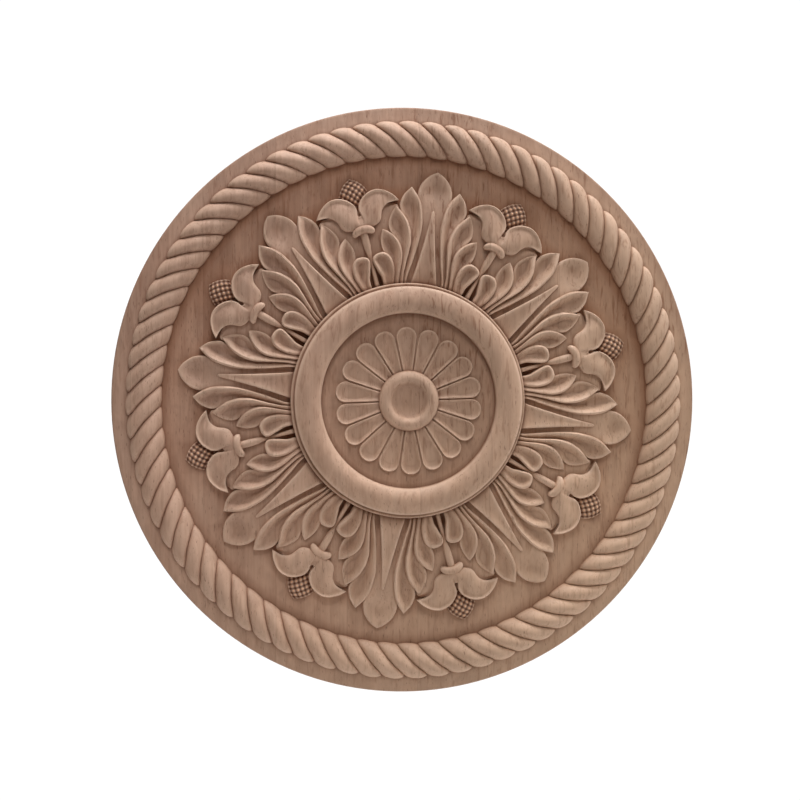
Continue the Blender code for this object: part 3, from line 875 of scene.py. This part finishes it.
def grainGroup():
    # upright staves: streaks, pores, strokes and mottle, and the staves' tones and joints
    outputs = ("Streaks", "Pores", "Tone", "Joint", "Strokes", "Mottle", "Height")
    group, source, sink = newGroup("uprightGrain", [
        ("Vector", "NodeSocketVector", (0, 0, 0)),
        ("Stave Width", "NodeSocketFloat", grain["staveWidth"]),
    ], [(title, "NodeSocketFloat") for title in outputs])
    split = addNode(group, "ShaderNodeSeparateXYZ")
    group.links.new(source.outputs["Vector"], split.inputs[0])
    x, y, z = split.outputs
    fromStart = mathNode(group, "SUBTRACT", x, grain["staveStart"])
    place = mathNode(group, "DIVIDE", fromStart, source.outputs["Stave Width"])
    inside = mathNode(group, "FRACT", place)
    random = addNode(group, "ShaderNodeTexWhiteNoise", noise_dimensions="1D")
    group.links.new(mathNode(group, "FLOOR", place), random.inputs["W"])
    tone = random.outputs["Value"]
    fromJoint = mathNode(group, "MINIMUM", inside, mathNode(group, "SUBTRACT", 1.0, inside))
    joint = mathNode(group, "SUBTRACT", 1.0, rampNode(group, fromJoint, 0.0, grain["joint"]))
    shifted = addNode(group, "ShaderNodeCombineXYZ")
    group.links.new(x, shifted.inputs[0])
    group.links.new(y, shifted.inputs[1])
    shift = mathNode(group, "MULTIPLY", tone, grain["staveShift"])
    group.links.new(mathNode(group, "ADD", z, shift), shifted.inputs[2])

    def noise(look):
        return noiseNode(group, shifted.outputs[0], *look)

    def limited(name):
        look, limits = grain[name]
        return rampNode(group, noise(look), *limits)

    look, limits = grain["fine"]
    fine = noise(look)
    broadStreaks = mathNode(group, "MULTIPLY", limited("broad"), grain["broadShare"])
    fineStreaks = mathNode(group, "MULTIPLY", rampNode(group, fine, *limits), 1 - grain["broadShare"])
    streaks = mathNode(group, "ADD", broadStreaks, fineStreaks)
    least, patchShare, sharpness = grain["poreLimit"]
    patches = mathNode(group, "MULTIPLY", noise(grain["patches"]), patchShare)
    over = mathNode(group, "SUBTRACT", noise(grain["dashes"]), mathNode(group, "SUBTRACT", least, patches))
    pores = mathNode(group, "MULTIPLY", over, sharpness, clamp=True)
    height = mathNode(group, "SUBTRACT", mathNode(group, "MULTIPLY", fine, grain["fineHeight"]), pores)
    values = (streaks, pores, tone, joint, limited("strokes"), limited("mottle"), height)
    for title, value in zip(outputs, values):
        group.links.new(value, sink.inputs[title])
    return group


def turnedGroovesGroup():
    # painted shade in the turned grooves: rings round the middle of the face
    group, source, sink = newGroup("turnedGrooves", [("Vector", "NodeSocketVector", (0, 0, 0))],
                                   [("Groove Shade", "NodeSocketFloat")])
    split = addNode(group, "ShaderNodeSeparateXYZ")
    group.links.new(source.outputs["Vector"], split.inputs[0])
    x, y, z = split.outputs
    squares = [mathNode(group, "MULTIPLY", part, part) for part in (x, z)]
    away = mathNode(group, "SQRT", mathNode(group, "ADD", *squares))
    grooveShade = 0.0
    for place, reach, strength in turnedGrooves["rings"]:
        off = mathNode(group, "ABSOLUTE", mathNode(group, "SUBTRACT", away, place * mm))
        ring = mathNode(group, "SUBTRACT", 1.0, mathNode(group, "DIVIDE", off, reach * mm), clamp=True)
        grooveShade = mathNode(group, "MAXIMUM", grooveShade, mathNode(group, "MULTIPLY", ring, strength))
    onFront = rampNode(group, mathNode(group, "MULTIPLY", y, -1.0), *turnedGrooves["front"])
    group.links.new(mathNode(group, "MULTIPLY", grooveShade, onFront), sink.inputs["Groove Shade"])
    return group


def makeWood():
    wood = bpy.data.materials.new("raw_hardwood")
    wood.use_nodes = True
    tree = wood.node_tree
    shader = tree.nodes["Principled BSDF"]
    place = addNode(tree, "ShaderNodeTexCoord").outputs["Object"]
    upright = addNode(tree, "ShaderNodeGroup", node_tree=grainGroup())
    tree.links.new(place, upright.inputs["Vector"])
    turned = addNode(tree, "ShaderNodeGroup", node_tree=turnedGroovesGroup())
    tree.links.new(place, turned.inputs["Vector"])
    split = addNode(tree, "ShaderNodeSeparateXYZ")
    tree.links.new(place, split.inputs[0])
    x, z = split.outputs["X"], split.outputs["Z"]

    def carved(name):
        return addNode(tree, "ShaderNodeAttribute", attribute_name=name).outputs["Fac"]

    def times(one, two, clamp=False):
        return mathNode(tree, "MULTIPLY", one, two, clamp)

    def plus(one, two):
        return mathNode(tree, "ADD", one, two)

    slanted = mathNode(tree, "SUBTRACT", x, times(z, woodLook["slant"]))
    towardsRight = rampNode(tree, slanted, *woodLook["rightFrom"])
    towardsTop = rampNode(tree, z, *woodLook["topFrom"])

    colour = mixNode(tree, upright.outputs["Streaks"], woodLook["light"], woodLook["dark"])
    colour = mixNode(tree, times(towardsRight, woodLook["warmShare"]), colour, woodLook["warm"])
    plain, staveShare, mottleShare, topShare = woodLook["tone"]
    tone = plus(times(upright.outputs["Tone"], staveShare), plain)
    tone = plus(tone, times(upright.outputs["Mottle"], mottleShare))
    tone = mathNode(tree, "SUBTRACT", tone, times(towardsTop, topShare))
    shade = addNode(tree, "ShaderNodeCombineColor")
    for title in ("Red", "Green", "Blue"):
        tree.links.new(tone, shade.inputs[title])
    colour = mixNode(tree, 1.0, colour, shade.outputs[0], "MULTIPLY")

    # the grain's darker strokes are stronger at the upper right, and strongest in one stave
    plain, cornerShare, staveShare = woodLook["strokes"]
    fadeIn, fadeOut = (rampNode(tree, x, *limits) for limits in woodLook["strokedStave"])
    stroked = times(mathNode(tree, "SUBTRACT", fadeIn, fadeOut), towardsTop)
    density = plus(plain, times(plus(towardsTop, towardsRight), cornerShare))
    density = plus(density, times(stroked, staveShare))
    colour = mixNode(tree, times(upright.outputs["Strokes"], density), colour, woodLook["stroke"], "MULTIPLY")

    # the sunken ground darker: painted shade in the recesses with some stain, stronger at the top as a
    # painted shadow of the rope
    plain, topShare = woodLook["stainAndShade"]
    stainAndShade = times(carved("sunken"), plus(plain, times(towardsTop, topShare)))
    colour = mixNode(tree, stainAndShade, colour, woodLook["stainAndShadeTint"], "MULTIPLY")
    # raised edges lighter: painted highlight, with some sanding wear
    colour = mixNode(tree, times(carved("ridge"), woodLook["wearAndHighlightShare"]), colour, woodLook["wearAndHighlight"])
    colour = mixNode(tree, times(upright.outputs["Pores"], woodLook["poreShare"]), colour, woodLook["pore"])
    colour = mixNode(tree, times(upright.outputs["Joint"], woodLook["jointShare"]), colour, woodLook["pore"])
    # painted shade in hollows and creases
    colour = mixNode(tree, times(carved("hollow"), woodLook["hollowShadeShare"]), colour, woodLook["deep"])
    # the painted groove shade is darkest at the upper right, as a painted shadow of the rope
    plain, cornerShare = woodLook["grooveShade"]
    grooveShade = plus(plain, times(times(towardsTop, towardsRight), cornerShare))
    colour = mixNode(tree, times(turned.outputs["Groove Shade"], grooveShade), colour, woodLook["deep"])
    # below 0 the mask means the pale top of a knob, a painted highlight; above 0 the painted shade in the
    # pits
    knobs = times(carved("pitShadeAndKnobLight"), -woodLook["knobShare"], clamp=True)
    colour = mixNode(tree, knobs, colour, woodLook["knob"])
    colour = mixNode(tree, times(carved("pitShadeAndKnobLight"), 1.0, clamp=True), colour, woodLook["pitShade"])
    tree.links.new(colour, shader.inputs["Base Color"])

    plain, streakShare = woodLook["roughness"]
    tree.links.new(plus(times(upright.outputs["Streaks"], streakShare), plain), shader.inputs["Roughness"])
    shader.inputs["Specular IOR Level"].default_value = woodLook["specular"]
    bump = addNode(tree, "ShaderNodeBump")
    bump.inputs["Strength"].default_value, bump.inputs["Distance"].default_value = woodLook["bump"]
    tree.links.new(upright.outputs["Height"], bump.inputs["Height"])
    tree.links.new(bump.outputs[0], shader.inputs["Normal"])
    print("wood", len(tree.nodes), "nodes")
    return wood


# floor, light and camera

studio = {
    "floorHeight": -1.1,
    "floorSize": 5.0,
    "floorColour": (0.8, 0.8, 0.79),
    "floorRoughness": 0.8,
    # brightness and colour of the light from all round, and of what the camera sees behind the piece
    "ambient": (0.2, (1.0, 0.86, 0.74)),
    "backdrop": (1.05, (1.0, 1.0, 1.0)),
    "reach": 3.0,  # distance of every lamp from the carving
    # tilt from straight in front, direction on the face, anticlockwise from the right, size and power
    "lamps": {
        "topLight": (83, 90, 1.2, 70),
        "cornerLight": (83, 58, 1.2, 35),
        "rightLight": (83, 5, 1.2, 18),
        "frontLight": (45, 92, 1.4, 25),
        "backLight": (140, 70, 1.6, 45),
    },
}

camera = {
    "azimuth": 5.8,  # degrees to the left of straight on
    "elevation": 1.0,
    "distance": 1.5,
    "lens": 79.0,
    "shift": (-0.0088, 0.0006),
    "target": (0, -0.0135, 0),
}


def makeFloor():
    bpy.ops.object.select_all(action="DESELECT")
    bpy.ops.mesh.primitive_plane_add(size=studio["floorSize"], location=(0, 0, studio["floorHeight"]))
    floor = bpy.context.object
    floor.name = "floor"
    paint = bpy.data.materials.new("pale_floor")
    paint.use_nodes = True
    shader = paint.node_tree.nodes["Principled BSDF"]
    shader.inputs["Base Color"].default_value = (*studio["floorColour"], 1)
    shader.inputs["Roughness"].default_value = studio["floorRoughness"]
    floor.data.materials.append(paint)
    print("floor")


def makeLights():
    world = bpy.data.worlds.new("studio")
    bpy.context.scene.world = world
    world.use_nodes = True
    tree = world.node_tree
    tree.nodes.clear()
    path = addNode(tree, "ShaderNodeLightPath")
    mix = addNode(tree, "ShaderNodeMixShader")
    output = addNode(tree, "ShaderNodeOutputWorld")
    tree.links.new(path.outputs["Is Camera Ray"], mix.inputs[0])
    tree.links.new(mix.outputs[0], output.inputs[0])
    for title, socket in (("ambient", mix.inputs[1]), ("backdrop", mix.inputs[2])):
        background = addNode(tree, "ShaderNodeBackground")
        brightness, colour = studio[title]
        background.inputs["Strength"].default_value = brightness
        background.inputs["Color"].default_value = (*colour, 1)
        tree.links.new(background.outputs[0], socket)
    for name, (tilt, around, size, power) in studio["lamps"].items():
        tilt, around = math.radians(tilt), math.radians(around)
        away = Vector((math.sin(tilt) * math.cos(around), -math.cos(tilt), math.sin(tilt) * math.sin(around)))
        data = bpy.data.lights.new(name, "AREA")
        data.shape = "DISK"
        data.size = size
        data.energy = power
        light = bpy.data.objects.new(name, data)
        light.location = away * studio["reach"]
        light.rotation_euler = away.to_track_quat("Z", "Y").to_euler()
        bpy.context.scene.collection.objects.link(light)
    print("lights", len(studio["lamps"]))


def makeCamera():
    data = bpy.data.cameras.new("camera")
    data.lens = camera["lens"]
    data.shift_x, data.shift_y = camera["shift"]
    view = bpy.data.objects.new("camera", data)
    azimuth, elevation = math.radians(camera["azimuth"]), math.radians(camera["elevation"])
    away = Vector((-math.sin(azimuth) * math.cos(elevation), -math.cos(azimuth) * math.cos(elevation),
                   math.sin(elevation)))
    view.location = Vector(camera["target"]) + away * camera["distance"]
    view.rotation_euler = (-away).to_track_quat("-Z", "Y").to_euler()
    bpy.context.scene.collection.objects.link(view)
    bpy.context.scene.camera = view
    print("camera", camera["azimuth"], "degrees to the left")


bpy.context.scene.view_settings.view_transform = "Standard"
makeFloor()
makeLights()
makeCamera()
medallion = makeMedallion()
medallion.data.materials.clear()
medallion.data.materials.append(makeWood())
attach(medallion, "root")
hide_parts("carved_medallion")

print("done")
